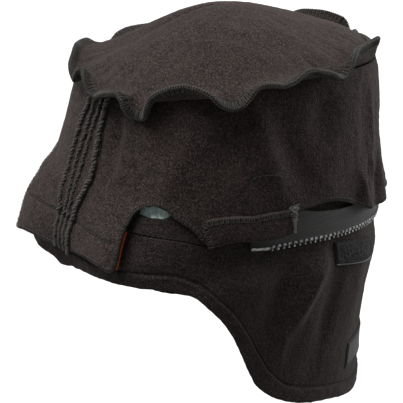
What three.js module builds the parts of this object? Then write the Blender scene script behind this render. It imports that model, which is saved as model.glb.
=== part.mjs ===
import * as THREE from 'three';

// Cold-weather helmet liner of fleece, in millimetres: a crown with a ruffled seam, a loose outer wall
// with a brow flap, a notch at each temple, and a cape under it that covers the ears and the neck.
// Z is up, -Y is the wearer's front and +X the wearer's left. The origin is the top of the hollow,
// the point of the crown's inner side that rests on the head.
// "at" is an angle round the liner in degrees from the front, positive towards the wearer's left.

const fleece = 2.0;
const sewnGap = 0.4;
const frontSquareness = 2.8;
const domeRoundness = 1.7;
const domeSlump = 0.4;
const slumpSide = -80;
const wallTuck = 1.2;
const wallTuckDepth = 6;
const ruffleThickness = 2.8;
const ruffleRootOut = 0.8;
const ruffleRootDrop = 0.9;
const hemThickness = 3.6;
const hemRoll = 2;
const tapeThickness = 1.0;
const tapeSlack = 0.2;
const teethHeight = 3.6;
const teethThickness = 2.4;
const ridgeWidth = 3;
const ridgeBase = 0.5;
const ridgeHeight = 1.1;
const columnStep = 6;

// Half lengths of the wall's plan at each height: towards the brow, the nape and the ears. The last
// column is the squareness of the back half.
const planSections = [
  { z: -20, front: 72, back: 95, side: 71, square: 2.2 },
  { z: -30, front: 74, back: 100, side: 73, square: 2.2 },
  { z: -40, front: 76.5, back: 103, side: 75, square: 2.2 },
  { z: -60, front: 82.4, back: 103.5, side: 78, square: 2.2 },
  { z: -80, front: 89.4, back: 105, side: 81, square: 2.1 },
  { z: -100, front: 98, back: 108, side: 83, square: 2 },
  { z: -120, front: 103.5, back: 112, side: 84, square: 2 },
  { z: -150, front: 102, back: 108, side: 83, square: 2 },
  { z: -180, front: 98, back: 102.5, side: 80, square: 2 },
  { z: -210, front: 96, back: 100, side: 77, square: 2 },
  { z: -250, front: 94, back: 100.5, side: 75, square: 2 },
];

// Height of the seam that joins crown and wall.
const crownSeam = [
  { at: 0, z: -33 },
  { at: 25, z: -33 },
  { at: 45, z: -28.5 },
  { at: 60, z: -27 },
  { at: 90, z: -25 },
  { at: 112, z: -25 },
  { at: 130, z: -27 },
  { at: 150, z: -29 },
  { at: 180, z: -30 },
];

// Waves of the ruffle: how far its edge lifts (or hangs, below zero) from level, in degrees.
const ruffleWaves = [
  { at: -180, lift: 30 },
  { at: -176, lift: 10 },
  { at: -172, lift: 38 },
  { at: -165, lift: 53 },
  { at: -157, lift: 42 },
  { at: -150, lift: 14 },
  { at: -118, lift: 14 },
  { at: -92, lift: -6 },
  { at: -81, lift: -5 },
  { at: -70, lift: -40 },
  { at: -57, lift: -3 },
  { at: -42, lift: 62 },
  { at: -30, lift: 51 },
  { at: -17.5, lift: -22 },
  { at: -10, lift: 50 },
  { at: 3, lift: -20 },
  { at: 14, lift: 8 },
  { at: 19, lift: 17 },
  { at: 26, lift: -67 },
  { at: 33.3, lift: 10 },
  { at: 44.9, lift: 48 },
  { at: 54.8, lift: 10 },
  { at: 62.3, lift: -41 },
  { at: 69.9, lift: 15 },
  { at: 73.5, lift: 22 },
  { at: 80.8, lift: 8 },
  { at: 95.3, lift: 36 },
  { at: 109.7, lift: -13 },
  { at: 121.6, lift: 59 },
  { at: 142, lift: 90 },
  { at: 166, lift: 122 },
  { at: 180, lift: 30 },
];

// The ruffle is narrower where it is bunched.
const ruffleWidths = [
  { at: -180, width: 9 },
  { at: -164, width: 13 },
  { at: -154, width: 13 },
  { at: -140, width: 11 },
  { at: -61, width: 9.5 },
  { at: -46, width: 6.4 },
  { at: -20, width: 7 },
  { at: -4, width: 10 },
  { at: 4, width: 11 },
  { at: 145, width: 11 },
  { at: 158, width: 6.5 },
  { at: 176, width: 6.5 },
  { at: 180, width: 9 },
];

// Lower edge of the wall, alike on both sides: brow hem, temple notch, ear, arch over the zipper.
const wallEdge = [
  { at: 0, z: -126 },
  { at: 15, z: -121.7 },
  { at: 21.5, z: -121.4 },
  { at: 25, z: -122.4 },
  { at: 26.4, z: -121 },
  { at: 27.3, z: -113 },
  { at: 27.9, z: -102 },
  { at: 29.8, z: -91.8 },
  { at: 34.1, z: -87.1 },
  { at: 37.2, z: -86.2 },
  { at: 40, z: -87.4 },
  { at: 44.7, z: -93.4 },
  { at: 50.5, z: -99.5 },
  { at: 54, z: -106 },
  { at: 68, z: -106 },
  { at: 83, z: -105 },
  { at: 86.5, z: -98.6 },
  { at: 94.5, z: -97.6 },
  { at: 104, z: -98 },
  { at: 113, z: -101.2 },
  { at: 121.3, z: -107 },
  { at: 127, z: -112 },
  { at: 136, z: -116.5 },
  { at: 150, z: -118.5 },
  { at: 180, z: -118 },
];
const farCornerSag = [
  { at: -33, down: 0 },
  { at: -27, down: 6 },
  { at: -20, down: 5.2 },
  { at: -7, down: 3.1 },
  { at: 0, down: 0 },
];

// How far the wall stands out from the plan round the brow flap. The far corner stands out more.
const browFlare = [
  { at: -60, out: 0 },
  { at: -46, out: 1 },
  { at: -36, out: 4 },
  { at: -27.5, out: 10.5 },
  { at: -14, out: 4.5 },
  { at: 0, out: 0 },
  { at: 14, out: 2.5 },
  { at: 26, out: 6.5 },
  { at: 36, out: 3 },
  { at: 46, out: 0.6 },
  { at: 60, out: 0 },
];
const browFlareDepth = [
  { z: -82, share: 0 },
  { z: -88, share: 0.3 },
  { z: -96, share: 0.58 },
  { z: -106, share: 0.85 },
  { z: -118, share: 0.92 },
  { z: -130, share: 1.2 },
];
const browHemTop = -106.5;

// Share of the brow flap's flare that the cape takes up below it, on the right and on the left.
const farFlareShare = 0.7;
const nearFlareShare = 0.2;
const capeFlareTop = -106;
const capeFlareFull = -126;

// Half width of the centre-front seam's opened allowances, which close up over the brow hem.
const frontSeamSpread = [
  { z: -33, half: 9.2 },
  { z: -48, half: 9.5 },
  { z: -68, half: 12 },
  { z: -87, half: 11.6 },
  { z: -99, half: 9.2 },
  { z: -108, half: 7.6 },
  { z: -126, half: 7.4 },
];
const browHalfAngle = 27.3;

// How far the inner layers lie inside the plan, so that the wall and the zipper pass over them.
const innerInset = [
  { at: 0, in: 5.4 },
  { at: 22, in: 5.4 },
  { at: 32, in: 3.4 },
  { at: 45, in: 2.9 },
  { at: 56, in: 3.6 },
  { at: 66, in: 5.0 },
  { at: 180, in: 5.0 },
];

// Seam between the inner band and the cape.
const bandSeam = [
  { at: 0, z: -103 },
  { at: 26, z: -102.6 },
  { at: 36, z: -103.3 },
  { at: 45, z: -104.8 },
  { at: 53, z: -108 },
  { at: 70, z: -109 },
  { at: 180, z: -109 },
];
const bandTop = -82;
const bandDip = [
  { at: 26, down: 0 },
  { at: 30.5, down: 11.4 },
  { at: 38, down: 12 },
  { at: 47, down: 0 },
];

// Cape: the stitch line of its hem and its lower edge, narrow at the brow and deep at the nape.
const capeEdge = [
  { at: 0, stitch: -129, edge: -138.3 },
  { at: 12, stitch: -127, edge: -135.5 },
  { at: 22, stitch: -124.8, edge: -134.3 },
  { at: 32, stitch: -123.6, edge: -132.8 },
  { at: 41, stitch: -123.4, edge: -133 },
  { at: 46, stitch: -126, edge: -135.2 },
  { at: 50, stitch: -129.5, edge: -138.6 },
  { at: 56.5, stitch: -139, edge: -150.5 },
  { at: 63, stitch: -152.5, edge: -170.5 },
  { at: 68.5, stitch: -168, edge: -192 },
  { at: 73, stitch: -182, edge: -204.5 },
  { at: 79, stitch: -197, edge: -213 },
  { at: 90, stitch: -211.5, edge: -223 },
  { at: 105, stitch: -220, edge: -231 },
  { at: 120, stitch: -227.5, edge: -238 },
  { at: 142, stitch: -237, edge: -247.5 },
  { at: 180, stitch: -241, edge: -251 },
];

// Height from which the cape swings free of the wall and the zipper.
const capeSwing = [
  { at: 0, z: -136 },
  { at: 40, z: -134 },
  { at: 56, z: -122 },
  { at: 64, z: -117 },
  { at: 77, z: -118.3 },
  { at: 90, z: -120.2 },
  { at: 110, z: -123 },
  { at: 130, z: -126.6 },
  { at: 142, z: -129.5 },
  { at: 180, z: -131 },
];
const swingDepth = 20;
const swingShare = 0.4;
const foldsUnderWall = 0.25;

// Soft folds: a ridge (or a dent, below zero) round a middle point, leaning from upright by "lean".
const wallFolds = [
  { at: 44, z: -62, lean: 8, long: 22, wide: 8, out: 1.4 },
  { at: 61, z: -56, lean: -12, long: 16, wide: 12, out: -1.6 },
  { at: 76, z: -58, lean: -20, long: 26, wide: 8, out: 1.5 },
  { at: 104, z: -52, lean: 12, long: 18, wide: 10, out: -1.4 },
];
const capeFolds = [
  { at: 97, z: -148, lean: 32, long: 34, wide: 6.5, out: 3.8 },
  { at: 80, z: -150, lean: 22, long: 32, wide: 10, out: -3.2 },
  { at: 110, z: -160, lean: 12, long: 38, wide: 8, out: -2.4 },
  { at: 52, z: -119, lean: -70, long: 16, wide: 6, out: -1.6 },
  { at: -90, z: -158, lean: -12, long: 42, wide: 9, out: 3.0 },
];

// The ear flap on the wearer's right hangs a little higher than the one on the left.
const rightFlapRise = [
  { at: -150, up: 0 },
  { at: -108, up: 11 },
  { at: -70, up: 11 },
  { at: -50, up: 0 },
];

// Elastic pulls the lower back of the wall into upright gathers that fade towards the crown.
const gatherStart = 116;
const gatherFade = 14;
const gatherTop = -66;
const gatherFull = -108;
const gatherSpacing = 16;
const gatherDepth = 3.6;

// Zipper half round the back, from temple to temple, with its teeth pointing down.
const tapeStart = 66;
const teethStart = 79;
const zipperLine = [
  { at: 64, tapeTop: -100, teeth: -113.2 },
  { at: 77, tapeTop: -99, teeth: -116.2 },
  { at: 86, tapeTop: -97.6, teeth: -117.2 },
  { at: 92, tapeTop: -98, teeth: -117.9 },
  { at: 98.8, tapeTop: -100.3, teeth: -118.9 },
  { at: 110, tapeTop: -103.6, teeth: -121 },
  { at: 122, tapeTop: -106.8, teeth: -123.3 },
  { at: 130, tapeTop: -108, teeth: -125 },
  { at: 142, tapeTop: -109.5, teeth: -127.2 },
  { at: 160, tapeTop: -110, teeth: -128.6 },
  { at: 180, tapeTop: -110, teeth: -128.6 },
];

// Part of the wall that is turned up over its own edge behind each temple.
const turnedFlap = [
  { at: 53, top: -93, bottom: -107.2 },
  { at: 60, top: -92, bottom: -106.7 },
  { at: 68, top: -93.6, bottom: -107.3 },
  { at: 77, top: -94.3, bottom: -108.2 },
  { at: 86.4, top: -95.2, bottom: -108.6 },
];

// Small pieces: the angles and the heights that each one covers.
const pin = { from: 68.5, to: 76.4, height: 2.8, thickness: 2.8 };
const loopPatch = { from: 111.5, to: 137.7, top: -126.5, bottom: -139.8, sink: -10.5, thickness: 1.2 };
const napeLabel = { from: 129.5, to: 159, top: -203.5, bottom: -222, sink: -7, thickness: 1.0 };
const edgeTab = { from: 23.6, to: 26.9, top: -102, bottom: -121.5, thickness: 1.0 };
const liningStrip = { from: 29.5, to: 48, top: -79, bottom: -101, thickness: 1.0 };

// Reads a smooth curve through one column of a table. It never swings past the rows beside it.
function curve(rows, key, column) {
  const x = rows.map((row) => row[key]);
  const y = rows.map((row) => row[column]);
  const rising = x[x.length - 1] > x[0];
  if (!rising) {
    x.reverse();
    y.reverse();
  }
  const slope = x.slice(1).map((value, i) => (y[i + 1] - y[i]) / (value - x[i]));
  const tangent = x.map((_, i) => {
    const before = slope[Math.max(i - 1, 0)];
    const after = slope[Math.min(i, slope.length - 1)];
    return before * after <= 0 ? 0 : (2 * before * after) / (before + after);
  });
  return (value) => {
    const inside = THREE.MathUtils.clamp(value, x[0], x[x.length - 1]);
    let i = 0;
    while (i < x.length - 2 && inside > x[i + 1]) {
      i += 1;
    }
    const span = x[i + 1] - x[i];
    const t = (inside - x[i]) / span;
    const start = y[i] * (1 + 2 * t) * (1 - t) ** 2 + tangent[i] * span * t * (1 - t) ** 2;
    const end = y[i + 1] * t * t * (3 - 2 * t) - tangent[i + 1] * span * t * t * (1 - t);
    return start + end;
  };
}

const frontAt = curve(planSections, 'z', 'front');
const backAt = curve(planSections, 'z', 'back');
const sideAt = curve(planSections, 'z', 'side');
const squareAt = curve(planSections, 'z', 'square');
const seamHeight = curve(crownSeam, 'at', 'z');
const ruffleLift = curve(ruffleWaves, 'at', 'lift');
const ruffleWidthAt = curve(ruffleWidths, 'at', 'width');
const wallEdgeHeight = curve(wallEdge, 'at', 'z');
const cornerSag = curve(farCornerSag, 'at', 'down');
const flapRise = curve(rightFlapRise, 'at', 'up');
const seamHalfWidth = curve(frontSeamSpread, 'z', 'half');
const flareAt = curve(browFlare, 'at', 'out');
const flareShare = curve(browFlareDepth, 'z', 'share');
const insetAt = curve(innerInset, 'at', 'in');
const bandSeamHeight = curve(bandSeam, 'at', 'z');
const bandDipAt = curve(bandDip, 'at', 'down');
const capeStitchHeight = curve(capeEdge, 'at', 'stitch');
const capeEdgeHeight = curve(capeEdge, 'at', 'edge');
const swingHeight = curve(capeSwing, 'at', 'z');
const tapeTopHeight = curve(zipperLine, 'at', 'tapeTop');
const teethHeightAt = curve(zipperLine, 'at', 'teeth');
const turnedTop = curve(turnedFlap, 'at', 'top');
const turnedBottom = curve(turnedFlap, 'at', 'bottom');

function sine(at) {
  return Math.sin(THREE.MathUtils.degToRad(at));
}

function cosine(at) {
  return Math.cos(THREE.MathUtils.degToRad(at));
}

// The same angle between -180 and 180.
function turned(at) {
  return THREE.MathUtils.euclideanModulo(at + 180, 360) - 180;
}

// Distance round from the front, on either side.
function fromFront(at) {
  return Math.abs(turned(at));
}

// Plan of the liner: two half superellipses that meet over the ears.
function plan(at, z) {
  const towardsFront = cosine(at);
  const power = towardsFront > 0 ? frontSquareness : squareAt(z);
  const long = Math.abs(towardsFront) / (towardsFront > 0 ? frontAt(z) : backAt(z));
  const wide = Math.abs(sine(at)) / sideAt(z);
  return (long ** power + wide ** power) ** (-1 / power);
}

function foldsAt(folds, at, z) {
  const middleRadius = 90;
  let out = 0;
  for (const fold of folds) {
    const round = THREE.MathUtils.degToRad(turned(at - fold.at)) * middleRadius;
    const down = fold.z - z;
    const across = round * cosine(fold.lean) + down * sine(fold.lean);
    const along = down * cosine(fold.lean) - round * sine(fold.lean);
    out += fold.out * Math.exp(-((across / fold.wide) ** 2) - (along / fold.long) ** 2);
  }
  return out;
}

function gathersAt(at, z) {
  const share = THREE.MathUtils.smoothstep(fromFront(at), gatherStart, gatherStart + gatherFade);
  const depth = THREE.MathUtils.smoothstep(-z, -gatherTop, -gatherFull);
  const wave = 0.5 + 0.5 * Math.cos((fromFront(at) / gatherSpacing) * 2 * Math.PI);
  return gatherDepth * share * depth * wave;
}

// The brow hem's far corner sags below its near one.
function wallBottom(at) {
  return wallEdgeHeight(fromFront(at)) - cornerSag(turned(at));
}

function wallTop(at) {
  return seamHeight(fromFront(at)) - ruffleRootDrop - ruffleThickness / 2 - sewnGap;
}

function wallOuter(at, z) {
  const tuck = wallTuck * Math.exp((z - wallTop(at)) / wallTuckDepth);
  const flare = flareAt(turned(at)) * flareShare(z);
  return plan(at, z) + flare + gathersAt(at, z) + foldsAt(wallFolds, at, z) - tuck;
}

function wallInner(at, z) {
  const hemmed = fromFront(at) < browHalfAngle && z < browHemTop;
  return wallOuter(at, z) - (hemmed ? hemThickness : fleece);
}

function innerLayer(at, z) {
  return plan(at, z) - insetAt(fromFront(at));
}

function capeStitch(at) {
  return capeStitchHeight(fromFront(at)) + flapRise(turned(at));
}

// Below the zipper the cape swells out to the full plan.
function capeOuter(at, z) {
  const free = THREE.MathUtils.smoothstep(swingHeight(fromFront(at)) - z, 0, swingDepth);
  const share = turned(at) < 0 ? farFlareShare : nearFlareShare;
  const depth = THREE.MathUtils.smoothstep(-z, -capeFlareTop, -capeFlareFull);
  const flare = share * flareAt(turned(at)) * depth;
  const hem = ((hemThickness - fleece) / 2) * THREE.MathUtils.smoothstep(capeStitch(at) - z, 0, hemRoll);
  const folds = foldsAt(capeFolds, at, z) * Math.max(free, foldsUnderWall);
  return plan(at, z) - insetAt(fromFront(at)) * (1 - free) + flare + folds + hem;
}

function capeInner(at, z) {
  const hem = THREE.MathUtils.smoothstep(capeStitch(at) - z, 0, hemRoll);
  return capeOuter(at, z) - fleece - (hemThickness - fleece) * hem;
}

function place(at, radius, z) {
  return new THREE.Vector3(radius * sine(at), -radius * cosine(at), z);
}

// Joins triangles into one closed body, with shared corners merged and empty triangles dropped.
function closedBody(triangles) {
  const known = new Map();
  const positions = [];
  const index = [];
  for (const triangle of triangles) {
    const corners = triangle.map((point) => {
      const name = point.toArray().map((value) => value.toFixed(4)).join(' ');
      if (!known.has(name)) {
        known.set(name, positions.length / 3);
        positions.push(point.x, point.y, point.z);
      }
      return known.get(name);
    });
    if (new Set(corners).size === 3) {
      index.push(...corners);
    }
  }
  const geometry = new THREE.BufferGeometry();
  geometry.setAttribute('position', new THREE.Float32BufferAttribute(positions, 3));
  geometry.setIndex(index);
  geometry.computeVertexNormals();
  return geometry;
}

// Skins loops that stand side by side. A loop runs down the outside and back up the inside.
function loft(loops, isRing) {
  const triangles = [];
  const count = loops[0].length;
  const last = isRing ? loops.length : loops.length - 1;
  for (let i = 0; i < last; i += 1) {
    const near = loops[i];
    const far = loops[(i + 1) % loops.length];
    for (let k = 0; k < count; k += 1) {
      const next = (k + 1) % count;
      triangles.push([near[k], near[next], far[next]]);
      triangles.push([near[k], far[next], far[k]]);
    }
  }
  if (!isRing) {
    const start = loops[0];
    const end = loops[loops.length - 1];
    for (let k = 0; k < count / 2 - 1; k += 1) {
      const back = count - 1 - k;
      triangles.push([start[k], start[back], start[back - 1]]);
      triangles.push([start[k], start[back - 1], start[k + 1]]);
      triangles.push([end[k], end[back - 1], end[back]]);
      triangles.push([end[k], end[k + 1], end[back - 1]]);
    }
  }
  return closedBody(triangles);
}

// A sheet of cloth with an outer and an inner face, at the heights that levels(at) lists.
function sheet(angles, levels, outer, inner, isRing) {
  const loops = angles.map((at) => {
    const heights = levels(at);
    const outside = heights.map((z) => place(at, outer(at, z), z));
    const inside = heights.map((z) => place(at, inner(at, z), z)).reverse();
    return outside.concat(inside);
  });
  return loft(loops, isRing);
}

function evenly(from, to, steps) {
  return Array.from({ length: steps + 1 }, (_, i) => from + ((to - from) * i) / steps);
}

function between(steps, top, bottom) {
  return (at) => evenly(top(at), bottom(at), steps);
}

// Angles of a full ring: even steps, closer past the ears, with the given angles on both sides.
function ringAngles(extra, backStep) {
  const steps = new Set([180]);
  for (let at = 0; at < 110; at += columnStep) {
    steps.add(at);
  }
  for (let at = 112; at < 180; at += backStep) {
    steps.add(at);
  }
  const kept = [...steps].filter((at) => !extra.some((value) => Math.abs(value - at) < 1.6));
  const left = kept.concat(extra).sort((a, b) => a - b);
  const right = left.filter((at) => at > 0 && at < 180).map((at) => -at).reverse();
  return right.concat(left);
}

function fleeceFinish(tint) {
  return new THREE.MeshStandardMaterial({ color: tint, roughness: 0.95, metalness: 0 });
}

const liner = new THREE.Group();
liner.name = 'helmet_liner';

function add(name, geometry, material) {
  const mesh = new THREE.Mesh(geometry, material);
  mesh.name = name;
  liner.add(mesh);
}

const charcoal = fleeceFinish(0x2a2625);
const charcoalInner = fleeceFinish(0x262322);
const thread = fleeceFinish(0x33322f);
const tapeGrey = new THREE.MeshStandardMaterial({ color: 0x2f3132, roughness: 0.55, metalness: 0 });
const toothGrey = new THREE.MeshStandardMaterial({ color: 0x8d9192, roughness: 0.35, metalness: 0.7 });
const orange = new THREE.MeshStandardMaterial({ color: 0xc2481d, roughness: 0.6, metalness: 0 });
const mint = new THREE.MeshStandardMaterial({ color: 0x9fbdb6, roughness: 0.9, metalness: 0 });
const slate = new THREE.MeshStandardMaterial({ color: 0x2b2f33, roughness: 0.7, metalness: 0 });

// Crown: a domed oval whose seam allowance stands out all round as a waved, overlocked ruffle.
const domeShares = [0, 0.22, 0.42, 0.6, 0.76, 0.9, 1];
const ruffleShares = [0.35, 0.7, 1];

function crownLoop(at) {
  const seam = seamHeight(fromFront(at));
  const radius = plan(at, seam);
  const lift = ruffleLift(turned(at));
  const width = ruffleWidthAt(turned(at));
  const roundness = domeRoundness - domeSlump * Math.max(0, cosine(at - slumpSide)) ** 2;
  const domeFace = (rim, top, foot) => domeShares.map((share) => {
    const z = top + (foot - top) * share ** roundness;
    return place(at, rim * share, z);
  });
  const outside = domeFace(radius, fleece, seam);
  const inside = domeFace(radius - fleece, 0, seam - fleece);
  const along = (share) => ({
    radius: radius + ruffleRootOut + width * share * cosine(lift),
    z: seam - ruffleRootDrop + width * share * sine(lift),
  });
  const half = ruffleThickness / 2;
  const upper = ruffleShares.map((share) => {
    const middle = along(share);
    return place(at, middle.radius - half * sine(lift), middle.z + half * cosine(lift));
  });
  const lower = ruffleShares.map((share) => {
    const middle = along(share);
    return place(at, middle.radius + half * sine(lift), middle.z - half * cosine(lift));
  });
  const root = place(at, radius + ruffleRootOut, seam - ruffleRootDrop - half);
  return [...outside, ...upper, ...lower.reverse(), root, ...inside.reverse()];
}

const ruffleAngles = [21, 23.5, 26, 28.5, 31, 33.3, 39, 57, 62.3, 67, 70, 109.7];
add('crown_panel', loft(ringAngles(ruffleAngles, 6).map(crownLoop), true), charcoal);

// Outer wall: one loose band of fleece, sewn to the crown and cut away at the temples.
const wallAngles = wallEdge.map((row) => row.at).filter((at) => at > 0 && at < 180);
const wallLevels = between(7, wallTop, wallBottom);
add('outer_wall', sheet(ringAngles(wallAngles, 4), wallLevels, wallOuter, wallInner, true), charcoal);

// Centre-front seam: the opened allowances lie on the wall, with four raised, overstitched ridges.
const seamTop = wallTop(0);
const seamBottom = wallBottom(0) + ridgeBase;
const ridgeShares = [-1, -1 / 3, 1 / 3, 1];

function frontSeamLoop({ share, offset, height }) {
  const heights = evenly(seamTop, seamBottom, 9);
  const across = (z) => share * seamHalfWidth(z) + offset;
  const angleAt = (z) => THREE.MathUtils.radToDeg(Math.asin(across(z) / plan(0, z)));
  const lying = (z) => wallOuter(angleAt(z), z) + sewnGap;
  const outside = heights.map((z) => place(angleAt(z), lying(z) + height, z));
  const inside = heights.map((z) => place(angleAt(z), lying(z), z)).reverse();
  return outside.concat(inside);
}

const seamColumns = ridgeShares.flatMap((share) => [
  { share, offset: -ridgeWidth / 2, height: ridgeBase },
  { share, offset: 0, height: ridgeBase + ridgeHeight },
  { share, offset: ridgeWidth / 2, height: ridgeBase },
]);
add('front_seam', loft(seamColumns.map(frontSeamLoop), false), thread);

// Wall edge turned up behind each temple. It lies flat on the wall, with its fold downwards.
const flapInner = (at, z) => wallOuter(at, z) + sewnGap;
const flapOuter = (at, z) => wallOuter(at, z) + sewnGap + fleece;
const flapLevels = between(3, (at) => turnedTop(fromFront(at)), (at) => turnedBottom(fromFront(at)));
const flapAngles = evenly(turnedFlap[0].at, turnedFlap[turnedFlap.length - 1].at, 8);
const flapAnglesRight = flapAngles.map((at) => -at).reverse();
add('turned_flap_left', sheet(flapAngles, flapLevels, flapOuter, flapInner, false), charcoal);
add('turned_flap_right', sheet(flapAnglesRight, flapLevels, flapOuter, flapInner, false), charcoal);

// Inner band: joins the wall to the cape. Its upper edge sags behind the wearer's left notch.
const bandTopHeight = (at) => bandTop - (turned(at) > 0 ? bandDipAt(fromFront(at)) : 0);
const bandLevels = between(2, bandTopHeight, (at) => bandSeamHeight(fromFront(at)));
const bandInner = (at, z) => innerLayer(at, z) - fleece;
const bandAngles = ringAngles([28, 31, 41, 44], 8);
add('inner_band', sheet(bandAngles, bandLevels, innerLayer, bandInner, true), charcoalInner);

// Cape: a full ring of fleece, narrow at the brow, with ear flaps and a long nape and a wide hem.
function capeLevels(at) {
  const top = bandSeamHeight(fromFront(at)) - sewnGap;
  const stitch = capeStitch(at);
  const edge = capeEdgeHeight(fromFront(at)) + flapRise(turned(at));
  const swing = Math.max(swingHeight(fromFront(at)), THREE.MathUtils.lerp(top, stitch, swingShare));
  return [top, ...evenly(swing, stitch, 4), stitch - hemRoll, edge];
}

const capeAngles = [46, 50, 54, 58, 61.5, 65, 68.5, 73];
add('ear_neck_cape', sheet(ringAngles(capeAngles, 6), capeLevels, capeOuter, capeInner, true), charcoalInner);

// Zipper half: tape, a row of teeth along its lower edge, and the insertion pin at the left end.
const tapeOuter = (at, z) => plan(at, z) - fleece - sewnGap - tapeSlack;
const tapeInner = (at, z) => tapeOuter(at, z) - tapeThickness;
const teethTop = (at) => teethHeightAt(fromFront(at)) + teethHeight / 2;
const teethBottom = (at) => teethHeightAt(fromFront(at)) - teethHeight / 2;
const tapeLevels = between(2, (at) => tapeTopHeight(fromFront(at)), (at) => teethTop(at) + sewnGap);
const teethLevels = between(1, teethTop, teethBottom);
const tapeMiddle = (at, z) => tapeOuter(at, z) - tapeThickness / 2;
const teethOuter = (at, z) => tapeMiddle(at, z) + teethThickness / 2;
const teethInner = (at, z) => tapeMiddle(at, z) - teethThickness / 2;
const tapeAngles = evenly(tapeStart, 360 - tapeStart, 42);
const teethAngles = evenly(teethStart, 360 - teethStart, 42);
add('zipper_tape', sheet(tapeAngles, tapeLevels, tapeOuter, tapeInner, false), tapeGrey);
add('zipper_teeth', sheet(teethAngles, teethLevels, teethOuter, teethInner, false), toothGrey);

const pinTop = (at) => teethHeightAt(at) + pin.height / 2;
const pinBottom = (at) => teethHeightAt(at) - pin.height / 2;
const pinOuter = (at, z) => tapeMiddle(at, z) + pin.thickness / 2;
const pinInner = (at, z) => tapeMiddle(at, z) - teethThickness / 2;
const pinLevels = between(1, pinTop, pinBottom);
add('zipper_pin', sheet(evenly(pin.from, pin.to, 4), pinLevels, pinOuter, pinInner, false), toothGrey);

// A piece sewn flat on the cape. "sink" is how far its far end lies below its near end.
function onCape(piece) {
  const drop = (at) => (piece.sink * (at - piece.from)) / (piece.to - piece.from);
  const levels = between(2, (at) => piece.top + drop(at), (at) => piece.bottom + drop(at));
  const under = (at, z) => capeOuter(at, z) + sewnGap;
  const over = (at, z) => capeOuter(at, z) + sewnGap + piece.thickness;
  return sheet(evenly(piece.from, piece.to, 8), levels, over, under, false);
}

add('loop_patch', onCape(loopPatch), slate);
add('nape_label', onCape(napeLabel), slate);

// Ribbon tab sewn behind the brow flap's edge, showing past it in the wearer's left notch.
const tabOuter = (at, z) => wallOuter(at, z) - hemThickness - 2 * sewnGap;
const tabInner = (at, z) => tabOuter(at, z) - edgeTab.thickness;
const tabLevels = between(3, () => edgeTab.top, () => edgeTab.bottom);
add('edge_tab', sheet(evenly(edgeTab.from, edgeTab.to, 3), tabLevels, tabOuter, tabInner, false), orange);

// Lining that shows above the band's sagging edge.
const liningOuter = (at, z) => bandInner(at, z) - sewnGap;
const liningInner = (at, z) => liningOuter(at, z) - liningStrip.thickness;
const liningLevels = between(3, () => liningStrip.top, () => liningStrip.bottom);
const liningAngles = evenly(liningStrip.from, liningStrip.to, 5);
add('lining_strip', sheet(liningAngles, liningLevels, liningOuter, liningInner, false), mint);

export default liner;
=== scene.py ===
import math

import bmesh
import bpy
import numpy as np
from mathutils import Matrix, Vector, noise


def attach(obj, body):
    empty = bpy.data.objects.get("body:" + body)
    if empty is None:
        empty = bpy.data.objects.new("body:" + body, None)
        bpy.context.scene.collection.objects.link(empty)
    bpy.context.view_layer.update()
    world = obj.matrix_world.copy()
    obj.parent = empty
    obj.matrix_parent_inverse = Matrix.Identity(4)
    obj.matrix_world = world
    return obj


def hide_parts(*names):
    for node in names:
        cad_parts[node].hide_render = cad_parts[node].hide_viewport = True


# Cold-weather fleece liner, worn under a hard hat. Sizes are in millimetres and angles in degrees, and
# only finished meshes are in metres. "at" is an angle round the liner from the wearer's front, positive
# towards the wearer's left, and z is the height above the point that rests on the head.
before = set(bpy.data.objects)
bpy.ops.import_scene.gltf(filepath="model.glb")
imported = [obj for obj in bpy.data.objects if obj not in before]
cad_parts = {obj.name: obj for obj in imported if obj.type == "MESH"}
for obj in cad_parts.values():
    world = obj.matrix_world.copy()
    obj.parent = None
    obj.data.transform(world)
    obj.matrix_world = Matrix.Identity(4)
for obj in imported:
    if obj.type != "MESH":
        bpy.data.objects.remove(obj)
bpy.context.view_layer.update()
bpy.ops.object.select_all(action="DESELECT")

# Camera: from 56 degrees round the wearer's left front and 22 degrees above level, 0.7 m away, with a
# long lens. The liner stands a little to the right of the picture's middle.
camera_distance = 0.7
camera_aim = Vector((0, 0, -0.12))
picture_side_px = 403
focal_length_px = 1144
moved_right_px = 15


def direction(turn, rise):
    """Unit vector that points this many degrees round from the front and this many above level."""
    turn, rise = math.radians(turn), math.radians(rise)
    return Vector((math.sin(turn) * math.cos(rise), -math.cos(turn) * math.cos(rise), math.sin(rise)))


camera_back = direction(56, 22)
camera_data = bpy.data.cameras.new("camera")
camera_data.sensor_width = 36
camera_data.lens = camera_data.sensor_width * focal_length_px / picture_side_px
camera_data.shift_x = -moved_right_px / picture_side_px
camera = bpy.data.objects.new("camera", camera_data)
camera.location = camera_aim + camera_back * camera_distance
camera.rotation_euler = (-camera_back).to_track_quat("-Z", "Y").to_euler()
bpy.context.scene.collection.objects.link(camera)
bpy.context.scene.camera = camera

# Crown: a domed oval of brushed charcoal fleece. All round it the seam allowances of crown and wall stand
# out together as a ruffle, which the overlock's pull has set in waves.
metres = 0.001
fleece = 2.0
sewn_gap = 0.4
front_squareness = 2.8
dome_roundness = 1.7
swell_side, swell_height, swell_narrowness = 162, 3.6, 24
ruffle_thickness = 2.8
ruffle_root_out = 0.8
ruffle_root_drop = 0.9
upright_root_in = 2.0
ruffle_edge_half = 0.8
stitched_width = 4.3

# Small puckers of the dome's edge: height, number of them round the liner, and where they start.
seam_puckers = [(0.4, 19, 1), (0.3, 43, 2), (0.2, 71, 0)]


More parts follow.
